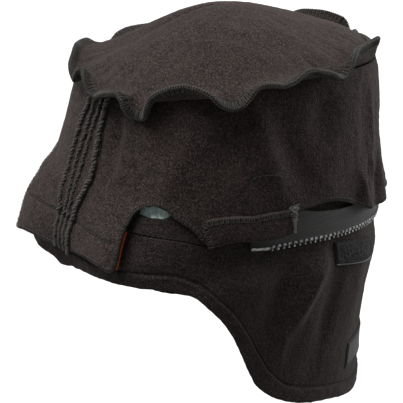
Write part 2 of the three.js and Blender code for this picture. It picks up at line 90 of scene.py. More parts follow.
def curve(rows):
    """A smooth curve through (place, value) rows that never swings past the rows beside it."""
    x, y = np.array(sorted(rows), float).T
    slope = np.diff(y) / np.diff(x)
    before = np.concatenate((slope[:1], slope))
    after = np.concatenate((slope, slope[-1:]))
    turns = before * after <= 0
    tangent = np.where(turns, 0, 2 * before * after / np.where(turns, 1, before + after))

    def read(place):
        inside = np.clip(place, x[0], x[-1])
        i = np.clip(np.searchsorted(x, inside, side="right") - 1, 0, len(x) - 2)
        span = x[i + 1] - x[i]
        t = (inside - x[i]) / span
        start = y[i] * (1 + 2 * t) * (1 - t) ** 2 + tangent[i] * span * t * (1 - t) ** 2
        end = y[i + 1] * t * t * (3 - 2 * t) - tangent[i + 1] * span * t * t * (1 - t)
        return start + end

    return read


def smooth_step(value, low, high):
    t = np.clip((value - low) / (high - low), 0, 1)
    return t * t * (3 - 2 * t)


def turned(at):
    """The same angle between -180 and 180."""
    return np.mod(np.asarray(at, float) + 180, 360) - 180


def from_front(at):
    return np.abs(turned(at))


def place(at, radius, z):
    """Points at these angles, distances from the upright axis and heights."""
    at, radius, z = np.broadcast_arrays(np.radians(at), radius, z)
    return np.stack([radius * np.sin(at), -radius * np.cos(at), z], -1)


# Half lengths of the wall's plan, by height: towards the brow, the nape and the ears.
plan_front = curve([
    (-20, 72), (-30, 74), (-40, 76.5), (-60, 82.4), (-80, 89.4), (-100, 98), (-120, 103.5),
    (-150, 102), (-180, 98), (-210, 96), (-250, 94),
])
plan_back = curve([
    (-20, 95), (-30, 100), (-40, 103), (-60, 103.5), (-80, 105), (-100, 108), (-120, 112),
    (-150, 108), (-180, 101.8), (-210, 98.9), (-250, 100),
])
plan_side = curve([
    (-20, 71), (-30, 73), (-40, 75), (-60, 78), (-80, 81), (-100, 83), (-120, 84), (-150, 83),
    (-180, 80), (-210, 77), (-250, 75),
])
back_squareness = curve([(-100, 2), (-80, 2.1), (-60, 2.2)])


def plan(at, z):
    """Distance of the liner's plan from the axis: two half superellipses that meet over the ears."""
    towards_front = np.cos(np.radians(at))
    ahead = towards_front > 0
    power = np.where(ahead, front_squareness, back_squareness(z))
    long = np.abs(towards_front) / np.where(ahead, plan_front(z), plan_back(z))
    wide = np.abs(np.sin(np.radians(at))) / plan_side(z)
    return (long ** power + wide ** power) ** (-1 / power)


crown_seam = curve([
    (0, -33), (25, -33), (45, -28.5), (60, -27), (90, -25), (112, -25), (130, -27), (150, -29), (180, -30),
])
far_seam_sag = curve([
    (-110, 0), (-95, 0.8), (-84, 2), (-74, 3.3), (-64, 3.8), (-54, 2.5), (-44, 0.6), (-36, 0),
])

# Slack hollows of the dome: the side, how much flatter the dome is there, and how narrow the hollow is.
dome_hollows = [(-80, 0.2, 2), (-40, 1.0, 14)]

# Waves of the ruffle: how far its edge lifts from level, or hangs below it, and how wide it is.
ruffle_lift = curve([
    (-180, 5), (-178, -14), (-175.5, -25), (-174, -12), (-173, 20), (-172, 45), (-169, 51), (-165, 55),
    (-160, 52), (-157, 47), (-154, 36), (-150, 14), (-144, 4), (-132, 8), (-118, 14), (-104, 4),
    (-92, 2), (-86, 7), (-81, 10), (-77, 5), (-74.5, -8), (-72, -26), (-69.5, -36), (-66, -30),
    (-62.5, -2), (-59, 22), (-55, 30), (-50, 38), (-46, 48), (-42, 58), (-36, 60), (-30, 51),
    (-25, 33), (-21, 9), (-17.5, -22), (-15, 8),
    (-13, 46), (-10, 50), (-6, 34), (-2, 8), (1.5, -16), (5, -20), (9, -6), (14, 8), (19, 17), (21.8, 6),
    (23, -26), (24.2, -55), (26, -67), (28, -65), (30.9, -45), (32.2, -16), (33.3, 10), (34.6, 25),
    (37.6, 37), (40.4, 45), (44.9, 48), (47.7, 42), (50.8, 32), (54.8, 10), (57.1, -14), (59.7, -31),
    (62.3, -41), (65, -31), (67.6, -7), (69.9, 15), (72.2, 22), (74.6, 21), (77.7, 16), (80.8, 8),
    (84.8, 11), (89.3, 26), (92.1, 34), (95.3, 36), (98.6, 27), (102, 18), (104.8, 7), (107, -7),
    (109.7, -13), (111.9, -4), (113.7, 15), (116.4, 37), (121.6, 59), (132, 82), (139, 84), (145.5, 74),
    (149, 82), (152.5, 100), (158, 108), (168, 110), (175, 100), (178, 60), (180, 5),
])
ruffle_width = curve([
    (-180, 5.5), (-178, 7), (-175, 11), (-164, 13), (-154, 13), (-140, 11), (-100, 10), (-61, 9.5),
    (-54, 8), (-46, 6.4), (-36, 6.2), (-20, 7), (-12, 8.5), (-4, 10), (4, 11), (135, 11), (140, 11.6),
    (145.5, 13), (149, 10.6), (153, 8), (158, 6.5), (168, 6), (175, 5), (180, 5.5),
])


def cloth(name, sections, joined, material):
    """A closed body of cloth. Each section runs down the outside and back up the inside."""
    sections = np.asarray(sections)
    columns, points = sections.shape[:2]
    near = np.arange(columns if joined else columns - 1)[:, None]
    far = (near + 1) % columns
    here = np.arange(points)
    after = (here + 1) % points
    faces = np.stack([
        near * points + here, near * points + after, far * points + after, far * points + here,
    ], -1).reshape(-1, 4).tolist()
    if not joined:
        last = (columns - 1) * points
        for front in range(points // 2 - 1):
            back = points - 1 - front
            faces.append([front, back, back - 1, front + 1])
            faces.append([last + front, last + front + 1, last + back - 1, last + back])
    return piece(name, sections.reshape(-1, 3), faces, material)


def piece(name, points, faces, material):
    """A mesh object from points in millimetres, with doubled points merged."""
    mesh = bpy.data.meshes.new(name)
    mesh.from_pydata((np.asarray(points) * metres).tolist(), [], faces)
    body = bmesh.new()
    body.from_mesh(mesh)
    bmesh.ops.remove_doubles(body, verts=body.verts, dist=1e-6)
    body.to_mesh(mesh)
    body.free()
    mesh.materials.append(material)
    mesh.shade_smooth()
    made = bpy.data.objects.new(name, mesh)
    bpy.context.scene.collection.objects.link(made)
    return made


def roughen(made, amount, grain):
    """Moves the surface in and out by a fine, fixed noise, as a brushed pile lies unevenly."""
    mesh = made.data
    spots = np.zeros(len(mesh.vertices) * 3, np.float32)
    mesh.vertices.foreach_get("co", spots)
    spots = spots.reshape(-1, 3)
    normals = np.array([vertex.normal for vertex in mesh.vertices])
    steps = np.array([noise.noise(Vector(spot)) for spot in spots / (grain * metres)])
    spots += normals * steps[:, None] * amount * metres
    mesh.vertices.foreach_set("co", spots.ravel())
    mesh.update()


def set_inputs(made, **values):
    """Sets inputs of a node or links them to outputs, by name with spaces written as underscores."""
    for name, value in values.items():
        socket = made.inputs[name.replace("_", " ")]
        if isinstance(value, bpy.types.NodeSocket):
            made.id_data.links.new(value, socket)
        else:
            socket.default_value = value


def node(tree, kind, **values):
    made = tree.nodes.new(kind)
    set_inputs(made, **values)
    return made


def new_material(name):
    """A material, its node tree and its main shader."""
    material = bpy.data.materials.new(name)
    material.use_nodes = True
    return material, material.node_tree, material.node_tree.nodes["Principled BSDF"]


def blend_colours(tree, texture, low, high, first, second):
    """Two colours or colour outputs, mixed by a texture: the first below low, the second above high."""
    share = node(tree, "ShaderNodeMapRange", Value=texture.outputs["Fac"], From_Min=low, From_Max=high)
    mix = tree.nodes.new("ShaderNodeMix")
    mix.data_type = "RGBA"
    tree.links.new(share.outputs["Result"], mix.inputs["Factor"])
    for socket, colour in ((mix.inputs[6], first), (mix.inputs[7], second)):
        if isinstance(colour, tuple):
            socket.default_value = (*colour, 1)
        else:
            tree.links.new(colour, socket)
    return mix.outputs[2]


def fleece_cloth(name, shade, highlight, cool):
    """Brushed fleece: clumps of pale fibre ends over dark gaps, with cooler, greener patches."""
    material, tree, shader = new_material(name)
    spot = tree.nodes.new("ShaderNodeTexCoord").outputs["Object"]
    lie = node(tree, "ShaderNodeMapping", Vector=spot, Scale=(1, 1, 0.85)).outputs["Vector"]
    patches = node(tree, "ShaderNodeTexNoise", Vector=spot, Scale=34, Detail=3, Roughness=0.6)
    tufts = node(tree, "ShaderNodeTexNoise", Vector=spot, Scale=150, Detail=4, Roughness=0.7)
    pile = node(tree, "ShaderNodeTexNoise", Vector=lie, Scale=1050, Detail=2, Roughness=0.6)
    gaps = node(tree, "ShaderNodeTexNoise", Vector=lie, Scale=1350, Detail=2, Roughness=0.6)
    base = blend_colours(tree, patches, 0.4, 0.64, shade, cool)
    tufted = blend_colours(tree, tufts, 0.36, 0.68, base, highlight)
    fibre_ends = tuple(2.5 * part for part in highlight)
    piled = blend_colours(tree, pile, 0.44, 0.72, tufted, fibre_ends)
    dark = tuple(0.45 * part for part in shade)
    colour = blend_colours(tree, gaps, 0.28, 0.52, dark, piled)
    height = node(tree, "ShaderNodeMath")
    height.operation = "MULTIPLY_ADD"
    height.inputs[1].default_value = 0.8
    tree.links.new(tufts.outputs["Fac"], height.inputs[0])
    tree.links.new(pile.outputs["Fac"], height.inputs[2])
    bump = node(tree, "ShaderNodeBump", Strength=0.7, Distance=0.001, Height=height.outputs[0])
    set_inputs(
        shader, Base_Color=colour, Normal=bump.outputs["Normal"], Roughness=0.95, Specular_IOR_Level=0.12,
        Sheen_Weight=0.05, Sheen_Roughness=0.4, Sheen_Tint=(0.85, 0.72, 0.68, 1),
    )
    return material


outer_fleece = fleece_cloth(
    "outer_fleece", (0.0115, 0.0086, 0.008), (0.028, 0.0205, 0.0192), (0.0102, 0.009, 0.0078),
)

dome_shares = np.linspace(0, 1, 44)
ruffle_steps = np.linspace(0.12, 1, 12)
rim_turns = np.radians([60, 30, 0, -30, -60])[:, None]


def ring_angles(step, *close_spans):
    """Angles all round in even steps, with closer ones in the spans given, on both sides."""
    angles = set(np.round(np.arange(-180, 180, step), 3))
    for low, high, close in close_spans:
        angles = {at for at in angles if not low <= abs(at) <= high}
        span = np.round(np.arange(low, high, close), 3)
        angles |= set(span) | set(-span)
    return sorted(angles)


def uprightness(at):
    """1 where the ruffle stands straight up, so that the wall runs on into it, and 0 where it lies flat."""
    return smooth_step(ruffle_lift(turned(at)), 40, 85)


def seam_height(at):
    """Height of the seam between crown and wall. On the far side it sags."""
    return crown_seam(from_front(at)) - far_seam_sag(turned(at))


def towards(at, side, narrowness):
    """1 at one side of the liner, fading to 0 on either hand."""
    return max(0.0, math.cos(math.radians(at - side))) ** narrowness


def dome_drop(at, shares, seam):
    """How far the dome falls from its top at shares of the way out to its seam."""
    roundness = dome_roundness
    for side, flatter, narrowness in dome_hollows:
        roundness -= flatter * towards(at, side, narrowness)
    swell = swell_height * towards(at, swell_side, swell_narrowness) * np.sin(np.pi * shares ** 4)
    return (seam - fleece) * shares ** roundness + swell


def ruffle_section(at):
    """The ruffle's root, its outward direction and its upper normal, each as (radius, z)."""
    seam = seam_height(at)
    lift = np.radians(ruffle_lift(turned(at)))
    root_out = ruffle_root_out - upright_root_in * uprightness(at)
    root = np.stack([plan(at, seam) + root_out, seam - ruffle_root_drop], -1)
    along = np.stack([np.cos(lift), np.sin(lift)], -1)
    upper = np.stack([-np.sin(lift), np.cos(lift)], -1)
    return root, along, upper


def eased(values):
    """All values but the first and the last, each drawn towards the two beside it."""
    return 0.25 * values[:-2] + 0.5 * values[1:-1] + 0.25 * values[2:]


def crown_section(at):
    seam = float(seam_height(at))
    radius = float(plan(at, seam))
    root, along, upper = ruffle_section(at)
    half = ruffle_thickness / 2
    width = float(ruffle_width(turned(at))) - ruffle_edge_half
    outside = np.stack([radius * dome_shares, fleece + dome_drop(at, dome_shares, seam)], -1)
    turn = math.radians(at)
    pucker = sum(height * math.sin(count * turn + start) for height, count, start in seam_puckers)
    outside[:, 1] += pucker * dome_shares ** 7
    middle = root + width * ruffle_steps[:, None] * along
    pressed = smooth_step(ruffle_steps * width, width - stitched_width, width - stitched_width + 1.2)
    halves = (half + (ruffle_edge_half - half) * pressed)[:, None]
    rim = middle[-1] + ruffle_edge_half * (np.cos(rim_turns) * along + np.sin(rim_turns) * upper)
    foot = root - np.array([0, half])
    inner_shares = dome_shares[::2]
    inside = np.stack([(radius - fleece) * inner_shares, dome_drop(at, inner_shares, seam)], -1)
    section = np.concatenate([
        outside, middle + halves * upper, rim, (middle - halves * upper)[::-1], foot[None], inside[::-1],
    ])
    bend = slice(len(outside) - 8, len(outside) + 4)
    for _ in range(10):
        section[1:-1][bend] = eased(section)[bend]
    return place(at, section[:, 0], section[:, 1])


crown_columns = ring_angles(0.85, (12, 36, 0.45), (56, 68, 0.6), (104, 120, 0.6))
crown = cloth("crown_panel_cloth", [crown_section(at) for at in crown_columns], True, outer_fleece)
roughen(crown, 0.5, 14)
roughen(crown, 0.25, 3.2)
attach(crown, "root")
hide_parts("crown_panel")

# Overlock of the ruffle: a thread wraps the edge every 1.4 mm, knotted threads run along the edge of each
# ply, and a fine one along the needle line. Polyester, dark grey green, a little lighter than the cloth.
rim_inset = 0.25
rim_bulge = 0.3
unstitched_root = 1.5

# Spacing of a wrap out and back, then radius of the wraps, of the knotted threads and of the needle's.
coarse_stitch = (2.8, 0.24, 0.46, 0.2)

# One wrap out and back: share of the spacing, depth from the edge as a share, and side of the cloth.
wrap_path = np.array([
    (0.00, 1.00, 1.00), (0.03, 0.55, 1.10), (0.06, 0.12, 1.00), (0.08, -0.08, 0.50), (0.09, -0.10, 0.00),
    (0.10, -0.08, -0.50), (0.12, 0.12, -1.00), (0.15, 0.55, -1.10), (0.18, 1.00, -1.00),
    (0.34, 1.02, -0.95), (0.50, 1.00, -1.00), (0.53, 0.55, -1.10), (0.56, 0.12, -1.00),
    (0.58, -0.08, -0.50), (0.59, -0.10, 0.00), (0.60, -0.08, 0.50), (0.62, 0.12, 1.00),
    (0.65, 0.55, 1.10), (0.68, 1.00, 1.00), (0.84, 1.02, 0.95),
])


def unit(vectors):
    return vectors / np.linalg.norm(vectors, axis=-1, keepdims=True)


def line_reader(points, *beside):
    """Length of a line, and a function that reads it, and what goes with it, at any distance along."""
    lengths = np.concatenate(([0], np.cumsum(np.linalg.norm(np.diff(points, axis=0), axis=1))))

    def read(distance):
        return [
            np.stack([np.interp(distance, lengths, values[:, axis]) for axis in range(values.shape[1])], -1)
            for values in (points, *beside)
        ]

    return lengths[-1], read


def thread(points, radius, sides=5):
    """Points and faces of a thread along a line. Its radius may change from point to point."""
    points = np.asarray(points)
    radius = np.broadcast_to(radius, len(points))
    ahead = unit(np.gradient(points, axis=0))
    side = unit(np.cross(ahead[0], (0.31, 0.52, 0.79)))
    rings = []
    turns = np.arange(sides) * 2 * np.pi / sides
    for point, heading, size in zip(points, ahead, radius):
        side = side - heading * (side @ heading)
        side = side / np.linalg.norm(side)
        other = np.cross(heading, side)
        rings.append(point + size * (np.cos(turns)[:, None] * side + np.sin(turns)[:, None] * other))
    corner = np.arange(sides)
    after = (corner + 1) % sides
    near = np.arange(len(points) - 1)[:, None] * sides
    far = near + sides
    faces = np.stack([near + corner, near + after, far + after, far + corner], -1).reshape(-1, 4).tolist()
    faces.append(corner[::-1].tolist())
    faces.append((far[-1] + corner).tolist())
    return np.concatenate(rings), faces


def thread_piece(name, threads, material):
    """One piece from several threads, which moves with the liner as its cloth does."""
    points = []
    faces = []
    start = 0
    for thread_points, thread_faces in threads:
        points.append(thread_points)
        faces.extend([[start + corner for corner in face] for face in thread_faces])
        start += len(thread_points)
    made = piece(name, np.concatenate(points), faces, material)
    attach(made, "root")
    return made


def knots(read, length, inward, side, spacing, radius):
    """A knotted thread along an edge: a bead where each wrap crosses it, and thin between them."""
    distance = np.arange(0, length, spacing / 10)
    edge, across, sizes = read(distance)
    into, normal = across[:, :3], across[:, 3:]
    phase = 4 * np.pi * distance / spacing
    wander = 0.2 * radius * (np.sin(phase / 2) + np.sin(distance * 0.9))
    out = side * sizes[:, :1] + wander[:, None]
    path = edge + into * (inward * sizes[:, 1:2]) + normal * out
    return thread(path, radius * (0.6 + 0.52 * np.cos(phase) + 0.1 * np.sin(distance * 1.7)))


def overlock(edge, normal, half, depth, stitch, interior=1, plies=(-1, 1)):
    """Threads of an overlocked edge. half is half the cloth's thickness, and depth the stitch's width."""
    wrap_spacing, wrap_radius, knot_radius, needle_radius = stitch
    ahead = unit(np.gradient(edge, axis=0))
    normal = unit(normal - ahead * np.sum(normal * ahead, -1, keepdims=True))
    into = interior * np.cross(normal, ahead)
    sizes = np.stack(np.broadcast_arrays(half, depth, edge[:, 0])[:2], -1)
    length, read = line_reader(edge, np.concatenate([into, normal], -1), sizes)
    wraps = int(length / wrap_spacing)
    along = (np.arange(wraps)[:, None] + wrap_path[:, 0]).ravel() * wrap_spacing
    on_edge, across, sizes = read(along)
    inward = np.tile(wrap_path[:, 1], wraps)[:, None] * sizes[:, 1:2]
    side = np.tile(wrap_path[:, 2], wraps)[:, None] * (sizes[:, :1] + wrap_radius)
    threads = [thread(on_edge + across[:, :3] * inward + across[:, 3:] * side, wrap_radius, 4)]
    for ply in plies:
        threads.append(knots(read, length, 0.02, 0.7 * ply, wrap_spacing, knot_radius))
        threads.append(knots(read, length, 1.04, 1.08 * ply, wrap_spacing, needle_radius))
    return threads


def thread_finish(name, shade, highlight):
    """Spun polyester thread: fine twist, light where fibres catch the light."""
    material, tree, shader = new_material(name)
    spot = tree.nodes.new("ShaderNodeTexCoord").outputs["Object"]
    fibres = node(tree, "ShaderNodeTexNoise", Vector=spot, Scale=1500, Detail=3, Roughness=0.7)
    colour = blend_colours(tree, fibres, 0.3, 0.7, shade, highlight)
    bump = node(tree, "ShaderNodeBump", Strength=0.5, Distance=0.0003, Height=fibres.outputs["Fac"])
    set_inputs(
        shader, Base_Color=colour, Normal=bump.outputs["Normal"], Roughness=0.7, Specular_IOR_Level=0.3,
    )
    return material


overlock_thread = thread_finish("overlock_thread", (0.0095, 0.0092, 0.0084), (0.068, 0.066, 0.059))

rim_angles = np.arange(-180, 180.01, 0.05)
rim_root, rim_along, rim_upper = ruffle_section(rim_angles)
rim_width = ruffle_width(turned(rim_angles)) - rim_inset
rim = rim_root + rim_along * rim_width[:, None]
rim_normal = place(rim_angles, rim_upper[:, 0], rim_upper[:, 1])
rim_edge = place(rim_angles, rim[:, 0], rim[:, 1])
rim_depth = np.minimum(stitched_width, rim_width - unstitched_root)
rim_threads = overlock(rim_edge, rim_normal, ruffle_edge_half + rim_bulge, rim_depth, coarse_stitch)
ruffle_overlock = thread_piece("ruffle_overlock", rim_threads, overlock_thread)

# Outer wall: a loose band of the same fleece, sewn to the crown. Its brow flap has a deep hem, it is cut
# away at the temples and arched over the zipper, and elastic gathers it at the back.
wall_tuck = 1.2
wall_tuck_depth = 6
hem_thickness = 3.6
brow_hem_top = -106.5
brow_half_angle = 27.3
gather_start = 116
gather_fade = 14
gather_top = -66
gather_full = -108
gather_spacing = 16
gather_depth = 3.6
stitch_groove = 0.7
stitch_groove_width = 0.9

wall_edge_height = curve([
    (0, -126), (7.6, -123.4), (14.9, -121.7), (21.5, -121.4), (25, -122.4), (26.2, -121.6),
    (27.2, -117), (27.6, -108), (27.9, -102), (28.4, -98), (29.8, -91.8), (31.8, -88.6), (34.1, -87.1),
    (37.2, -86.2), (40, -87.4), (41.9, -90.1), (44.7, -93.6), (47.6, -97), (49.4, -99.8),
    (51.2, -104.2), (53, -106), (68, -106), (83, -105), (86.5, -98.6), (89.5, -98), (94.5, -97.6),
    (100, -97.6), (104, -98), (108, -99), (113, -101.2), (117.3, -104), (121.3, -107), (127, -112),
    (136, -116.5), (150, -118.5), (180, -118),
])
far_corner_sag = curve([(-33, 0), (-27, 7.6), (-20, 6.4), (-15, 5.6), (-7, 3.6), (0, 0.6), (6, 0)])
brow_flare = curve([
    (-60, 0), (-46, 1), (-36, 4), (-27.5, 10.5), (-14, 4.5), (0, 0), (14, 2.2), (26, 5.8), (36, 2.8),
    (46, 0.6), (60, 0),
])
brow_flare_share = curve([
    (-82, 0), (-84.5, 0.08), (-88, 0.3), (-91.5, 0.5), (-96, 0.58), (-102, 0.79), (-106, 0.9),
    (-112, 1.0), (-118, 1.08), (-124, 1.28), (-130, 1.5),
])

# Soft folds: middle angle and height, lean from upright, half length, half width and how far out.
wall_folds = [
    (44, -62, 8, 22, 8, 2.0), (61, -56, -12, 16, 12, -2.9), (76, -58, -20, 26, 8, 2.7),
    (16, -60, -4, 18, 5, -2.8), (26, -80, 10, 20, 9, -2.2), (90, -74, -32, 24, 9, -2.2),
    (104, -52, 12, 18, 10, -1.8), (136, -66, 2, 24, 3.5, 1.3), (129, -70, 6, 22, 5, -1.0),
    (134, -92, -8, 12, 2.6, 1.6), (129.5, -95, 10, 11, 2.2, -1.5), (126, -98, -16, 9, 2.2, 1.2),
    (139.5, -99, 10, 12, 2.6, -1.6), (122, -104, 24, 7, 2.4, -0.9), (39, -74, 4, 14, 4, 0.9),
]


def folds_at(folds, at, z):
    """How far soft ridges, or dents, stand out from the plan."""
    middle_radius = 90
    out = 0
    for middle, height, lean, long, wide, amount in folds:
        round_by = np.radians(turned(at - middle)) * middle_radius
        down = height - z
        lean = math.radians(lean)
        across = round_by * math.cos(lean) + down * math.sin(lean)
        along = down * math.cos(lean) - round_by * math.sin(lean)
        out = out + amount * np.exp(-((across / wide) ** 2) - (along / long) ** 2)
    return out


def groove(distance):
    """Depth of the valley that a row of stitches pulls into the pile."""
    return -stitch_groove * np.exp(-((distance / stitch_groove_width) ** 2))


def wall_top(at):
    return seam_height(at) - ruffle_root_drop - ruffle_thickness / 2 - sewn_gap


def wall_bottom(at):
    return wall_edge_height(from_front(at)) - far_corner_sag(turned(at))


def wall_outer(at, z):
    away = from_front(at)
    tuck = wall_tuck * (1 - uprightness(at)) * np.exp((z - wall_top(at)) / wall_tuck_depth)
    flare = brow_flare(turned(at)) * brow_flare_share(z)
    gather_share = smooth_step(away, gather_start, gather_start + gather_fade)
    gather_depth_share = smooth_step(-z, -gather_top, -gather_full)
    wave = 0.5 + 0.5 * np.cos(2 * np.pi * away / gather_spacing)
    gathers = gather_depth * gather_share * gather_depth_share * wave
    hem = groove(z - brow_hem_top) * (away < brow_half_angle)
    return plan(at, z) + flare + gathers + folds_at(wall_folds, at, z) - tuck + hem


def hanging(at, outer, top, bottom, thick, row_at, rows, inner_rows):
    """Section of a hanging sheet with a rounded lower edge. Rows are closer together round row_at."""
    near = 2.0
    low = bottom + thick / 2
    row_at = min(max(row_at, low + 2 * near), top - 2 * near)
    heights = np.concatenate([
        np.linspace(top, row_at + near, rows[0], endpoint=False),
        np.linspace(row_at + near, row_at - near, rows[1], endpoint=False),
        np.linspace(row_at - near, low, rows[2]),
    ])
    inner_heights = np.linspace(low, top, inner_rows)
    turns = np.radians([30, 60, 90, 120, 150])
    middle = outer(at, low) - thick / 2
    edge = place(at, middle + thick / 2 * np.cos(turns), low - thick / 2 * np.sin(turns))
    thin = np.where(inner_heights < row_at, thick, fleece)
    return np.concatenate([
        place(at, outer(at, heights), heights),
        edge,
        place(at, outer(at, inner_heights) - thin, inner_heights),
    ])


def wall_section(at):
    thick = hem_thickness if from_front(at) < brow_half_angle else fleece
    return hanging(at, wall_outer, wall_top(at), wall_bottom(at), thick, brow_hem_top, (46, 8, 14), 24)


wall_columns = ring_angles(0.9, (24.3, 29.5, 0.12), (29.5, 56, 0.5), (82, 90, 0.4), (120, 144, 0.5))
wall = cloth("outer_wall_cloth", [wall_section(at) for at in wall_columns], True, outer_fleece)
roughen(wall, 0.9, 24)
roughen(wall, 0.3, 3.4)
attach(wall, "root")
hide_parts("outer_wall")

# Overlock of the wall's lower edge, round the brow flap, the notches and the arches at the back. It is a
# finer stitch of grey polyester, sewn over one cut ply of fleece, or over the folded hem at the brow.
edge_angles = np.arange(-180, 180.01, 0.02)
edge_line_above = 0.5
edge_normal_above = 1.5
wall_stitch_depth = 1.9


def surface_normal(outer, at, z):
    """Outward normal of a surface that is given as a distance from the axis."""
    step = 0.3
    by_angle = place(at + step, outer(at + step, z), z) - place(at - step, outer(at - step, z), z)
    by_height = place(at, outer(at, z + step), z + step) - place(at, outer(at, z - step), z - step)
    return unit(np.cross(by_angle, by_height))


in_brow = from_front(edge_angles) < brow_half_angle
wall_edge_half = np.where(in_brow, hem_thickness, fleece) / 2
wall_edge_z = wall_bottom(edge_angles) + edge_line_above
wall_edge_line = place(edge_angles, wall_outer(edge_angles, wall_edge_z) - wall_edge_half, wall_edge_z)
wall_edge_out = surface_normal(wall_outer, edge_angles, wall_edge_z + edge_normal_above)
fine_stitch = (2.5, 0.16, 0.27, 0.13)
edge_thread = thread_finish("edge_thread", (0.012, 0.0112, 0.0102), (0.062, 0.059, 0.053))
wall_threads = overlock(
    wall_edge_line, wall_edge_out, wall_edge_half, wall_stitch_depth, fine_stitch, plies=(-0.4, 0.9),
)
wall_overlock = thread_piece("wall_overlock", wall_threads, edge_thread)

# Stitch line of the brow hem: a lockstitch in dark polyester thread, sunk in the pile. It holds the brow
# flap's edge, which is turned up inside.
stitch_length = 3.0
stitch_radius = 0.26


def lockstitch(points, normals, rise=0.05, length=stitch_length):
    """A row of stitches: the thread lies on the cloth and dives at each needle hole."""
    total, read = line_reader(points, normals)
    distance = np.arange(0, total, length / 8)
    on_cloth, out = read(distance)
    dive = np.cos(np.pi * distance / length) ** 12
    return thread(on_cloth + out * (rise - 1.1 * dive)[:, None], stitch_radius)


def row_on(outer, angles, heights):
    """Points and normals of a line on a surface."""
    return place(angles, outer(angles, heights), heights), surface_normal(outer, angles, heights)


seam_thread = thread_finish("seam_thread", (0.004, 0.004, 0.004), (0.014, 0.013, 0.0125))
brow_stitch_angles = np.arange(-25, 25.1, 0.5)
brow_row = row_on(wall_outer, brow_stitch_angles, np.full(len(brow_stitch_angles), brow_hem_top))
thread_piece("brow_hem_stitches", [lockstitch(*brow_row, rise=0.5)], seam_thread)

# Centre-front seam: its two allowances are opened flat and overstitched. Their edges and the rows beside
# the seam stand up as four ridges, each wrapped by a twisted thread. Below the hem line they lie flatter.
ridge_places = [
    (-33, -8, -2.8, 3.6, 10.5), (-45, -9, -3.1, 3.3, 9.0), (-55, -11.7, -4.4, 1.2, 8.9),
    (-64, -13.1, -5.5, 0.4, 9.8), (-78, -13.4, -6.7, 0, 12), (-87, -12.2, -5.4, -0.1, 10.8),
    (-96, -10.4, -3.2, 1.0, 8.8), (-104, -7.6, -2.4, 1.6, 8.2), (-112, -7.6, -3.8, 0.8, 6.2),
    (-127, -7.6, -3.8, 0.8, 6.2),
]
ridges = [curve([(row[0], row[column]) for row in ridge_places]) for column in (1, 2, 3, 4)]
ridge_pitch = 3.6
allowance_rise = 0.9
allowance_margin = 1.8
allowance_edge = 1.4
ridge_rise = 1.0
ridge_half_width = 1.2
sunk_in = 0.3


def seam_angle(across, z):
    return np.degrees(np.arcsin(across / plan(0, z)))


def allowance_span(z):
    """Places of the allowances' two edges, across the seam."""
    return ridges[0](z) - allowance_margin, ridges[3](z) + allowance_margin


def above_hem(z):
    return smooth_step(z, brow_hem_top - 3, brow_hem_top + 2)


def seam_outer(at, z):
    """Surface of the opened allowances, raised from the wall, with a soft ridge under each thread."""
    across = plan(0, z) * np.sin(np.radians(at))
    left, right = allowance_span(z)
    from_left = smooth_step(across, left, left + allowance_edge)
    from_right = smooth_step(-across, -right, allowance_edge - right)
    height = allowance_rise * (from_left * from_right)
    fullness = ridge_rise * (0.3 + 0.7 * above_hem(z))
    for ridge in ridges:
        height = height + fullness * np.exp(-(((across - ridge(z)) / ridge_half_width) ** 2))
    return wall_outer(at, z) + sewn_gap + height


def layer_section(at, outer, inner, heights):
    """Section of a thin layer: down its outer side and back up its inner one."""
    return np.concatenate([place(at, outer, heights), place(at, inner, heights)[::-1]])


seam_heights = np.linspace(float(wall_top(0)) + 0.5, float(wall_bottom(0)) + 0.8, 96)
seam_left, seam_right = allowance_span(seam_heights)
seam_sections = []
for share in np.linspace(0, 1, 61):
    angles = seam_angle(seam_left + (seam_right - seam_left) * share, seam_heights)
    outside = seam_outer(angles, seam_heights)
    inside = wall_outer(angles, seam_heights) - sunk_in
    seam_sections.append(layer_section(angles, outside, inside, seam_heights))
front_seam = cloth("front_seam_cloth", seam_sections, False, outer_fleece)
roughen(front_seam, 0.35, 2.2)
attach(front_seam, "root")
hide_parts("front_seam")

ridge_threads = []
for ridge, thickness in zip(ridges, (1.25, 1.0, 1.0, 1.5)):
    angles = seam_angle(ridge(seam_heights), seam_heights)
    line, out = row_on(seam_outer, angles, seam_heights)
    sideways = np.cross(out, unit(np.gradient(line, axis=0)))
    flat = 0.45 + 0.55 * above_hem(seam_heights)
    length, read = line_reader(line, sideways, out, flat[:, None])
    distance = np.arange(0, length, ridge_pitch / 12)
    on_line, across, up, flat = read(distance)
    phase = 2 * np.pi * distance / ridge_pitch
    wander = 0.4 * np.sin(distance * 0.83 + 3 * thickness) + 0.25 * np.sin(distance * 1.9)
    phase = phase + 1.2 * np.sin(distance * 0.37 + thickness)
    for lag in (0, np.pi):
        around = 0.6 * thickness * np.cos(phase + lag) + wander
        above = 0.42 * thickness * np.sin(phase + lag) + 0.05
        path = on_line + across * around[:, None] * (0.5 + 0.5 * flat) + up * above[:, None] * flat
        lumps = 1 + 0.16 * np.sin(distance * 2.7 + lag) + 0.14 * np.sin(distance * 1.13 + 2 * lag)
        ridge_threads.append(thread(path, 0.55 * thickness * lumps, 6))
ridge_thread = thread_finish("ridge_thread", (0.0105, 0.0092, 0.0084), (0.054, 0.047, 0.043))
seam_ridges = thread_piece("front_seam_ridges", ridge_threads, ridge_thread)

